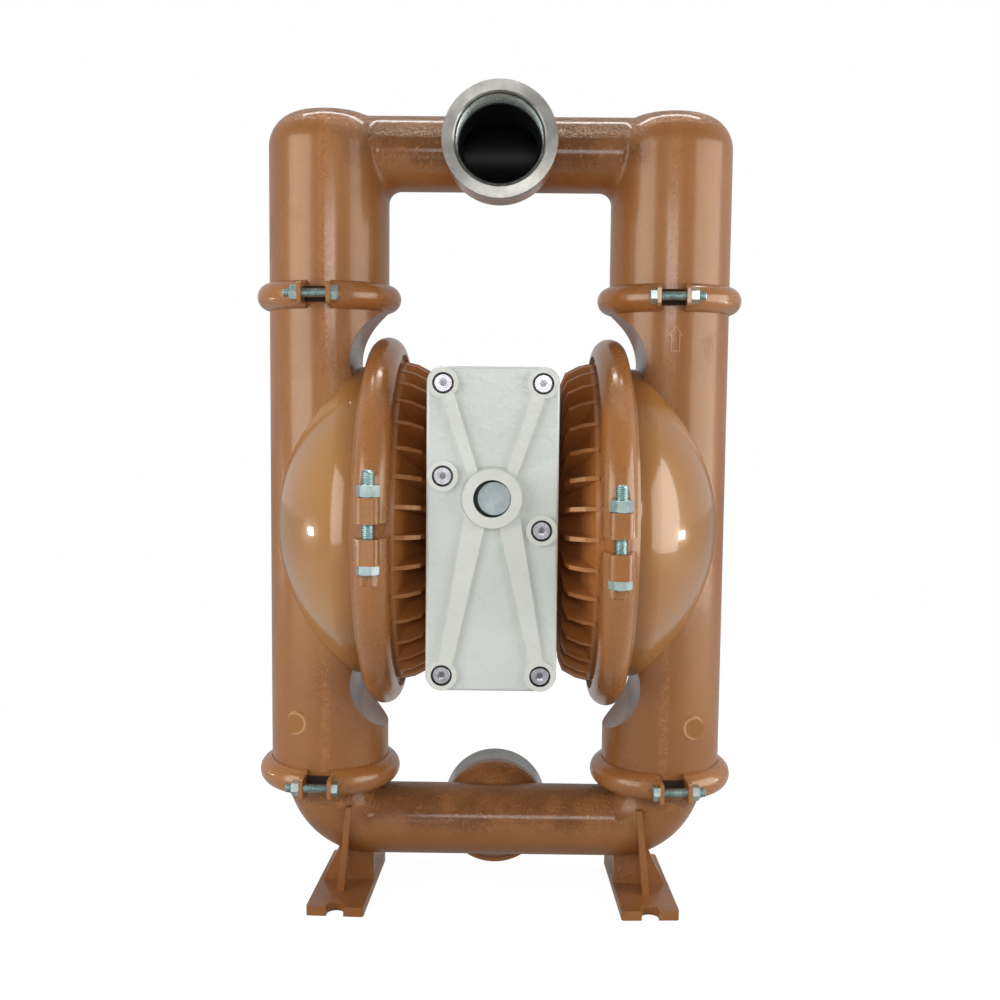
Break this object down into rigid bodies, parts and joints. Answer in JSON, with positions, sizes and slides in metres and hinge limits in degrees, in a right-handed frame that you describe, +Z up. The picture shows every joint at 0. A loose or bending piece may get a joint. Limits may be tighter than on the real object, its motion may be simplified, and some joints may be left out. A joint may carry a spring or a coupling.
{
  "type": "air operated diaphragm pump",
  "caption": "Clamped metal air operated double diaphragm pump with ball check valves, ribbed air chambers, flanged manifolds and threaded ports.",
  "frame": {"origin": "centre of the footprint, on the floor under the feet", "axes": "+Z up; the discharge port faces -Y and the suction port and air valve face +Y; +X to the right seen from the discharge port side"},
  "size_m": [0.505, 0.4123, 0.842],
  "materials": {
    "brown_enamel": "glossy copper-brown enamel over cast aluminium, lightly orange-peeled",
    "plate_enamel": "glossy off-white enamel",
    "valve_enamel": "glossy off-white enamel",
    "grey_plastic": "matte grey plastic",
    "screw_steel": "bright plated socket screws",
    "zinc_steel": "zinc-plated steel, slightly blue",
    "gasket_rubber": "matte black gasket",
    "seal_rubber": "satin black seal rubber",
    "diaphragm_rubber": "matte black moulded rubber",
    "ball_rubber": "satin black rubber",
    "seat_aluminium": "machined aluminium",
    "piston_steel": "plated steel",
    "shaft_chrome": "hard chromed, polished",
    "bronze": "bearing bronze",
    "spool_aluminium": "anodised aluminium"
  },
  "bodies": {
    "casing": {"air_chamber_gaskets": "gasket_rubber", "air_chamber_screws": "zinc_steel", "air_valve_body": "valve_enamel", "air_valve_end_caps": "spool_aluminium", "air_valve_gasket": "gasket_rubber", "air_valve_screws": "zinc_steel", "centre_block": "brown_enamel", "discharge_manifold": "brown_enamel", "end_cap_orings": "seal_rubber", "end_cap_retaining_rings": "zinc_steel", "exhaust_plate": "plate_enamel", "exhaust_plate_gasket": "gasket_rubber", "exhaust_plate_screws": "screw_steel", "exhaust_plug": "grey_plastic", "inlet_manifold": "brown_enamel", "large_clamp_bolts": "zinc_steel", "large_clamp_nuts": "zinc_steel", "left_air_chamber": "brown_enamel", "left_diaphragm": "diaphragm_rubber", "left_large_clamp_lower_half": "brown_enamel", "left_large_clamp_upper_half": "brown_enamel", "left_liquid_chamber": "brown_enamel", "lower_left_clamp_inner_half": "brown_enamel", "lower_left_clamp_outer_half": "brown_enamel", "lower_left_seat_oring": "seal_rubber", "lower_left_valve_seat": "seat_aluminium", "lower_right_clamp_inner_half": "brown_enamel", "lower_right_clamp_outer_half": "brown_enamel", "lower_right_seat_oring": "seal_rubber", "lower_right_valve_seat": "seat_aluminium", "pilot_sleeve": "bronze", "right_air_chamber": "brown_enamel", "right_diaphragm": "diaphragm_rubber", "right_large_clamp_lower_half": "brown_enamel", "right_large_clamp_upper_half": "brown_enamel", "right_liquid_chamber": "brown_enamel", "shaft_bushing": "bronze", "shaft_seals": "seal_rubber", "small_clamp_bolts": "zinc_steel", "small_clamp_nuts": "zinc_steel", "upper_left_clamp_inner_half": "brown_enamel", "upper_left_clamp_outer_half": "brown_enamel", "upper_left_seat_oring": "seal_rubber", "upper_left_valve_seat": "seat_aluminium", "upper_right_clamp_inner_half": "brown_enamel", "upper_right_clamp_outer_half": "brown_enamel", "upper_right_seat_oring": "seal_rubber", "upper_right_valve_seat": "seat_aluminium"},
    "shaft_assembly": {"shaft": "shaft_chrome", "left_inner_piston": "piston_steel", "right_inner_piston": "piston_steel", "left_outer_piston": "piston_steel", "right_outer_piston": "piston_steel"},
    "pilot_spool_body": {"pilot_spool": "spool_aluminium"},
    "air_valve_spool_body": {"air_valve_spool": "spool_aluminium"},
    "lower_left_ball": {"lower_left_valve_ball": "ball_rubber"},
    "lower_right_ball": {"lower_right_valve_ball": "ball_rubber"},
    "upper_left_ball": {"upper_left_valve_ball": "ball_rubber"},
    "upper_right_ball": {"upper_right_valve_ball": "ball_rubber"}
  },
  "joints": [
    {"name": "shaft_stroke", "type": "slide", "parent": "casing", "child": "shaft_assembly", "axis": [1, 0, 0], "range_m": [-0.018, 0.018], "deforming": ["left_diaphragm", "right_diaphragm"]},
    {"name": "pilot_shift", "type": "slide", "parent": "casing", "child": "pilot_spool_body", "axis": [1, 0, 0], "range_m": [-0.008, 0.008]},
    {"name": "air_valve_shift", "type": "slide", "parent": "casing", "child": "air_valve_spool_body", "axis": [1, 0, 0], "range_m": [-0.009, 0.009]},
    {"name": "lower_left_ball_lift", "type": "slide", "parent": "casing", "child": "lower_left_ball", "axis": [0, 0, 1], "range_m": [0, 0.016]},
    {"name": "lower_right_ball_lift", "type": "slide", "parent": "casing", "child": "lower_right_ball", "axis": [0, 0, 1], "range_m": [0, 0.016]},
    {"name": "upper_left_ball_lift", "type": "slide", "parent": "casing", "child": "upper_left_ball", "axis": [0, 0, 1], "range_m": [0, 0.016]},
    {"name": "upper_right_ball_lift", "type": "slide", "parent": "casing", "child": "upper_right_ball", "axis": [0, 0, 1], "range_m": [0, 0.016]}
  ],
  "couplings": [
    {"joint": "pilot_shift", "follows": "shaft_stroke", "ratio": 0.44444}
  ]
}
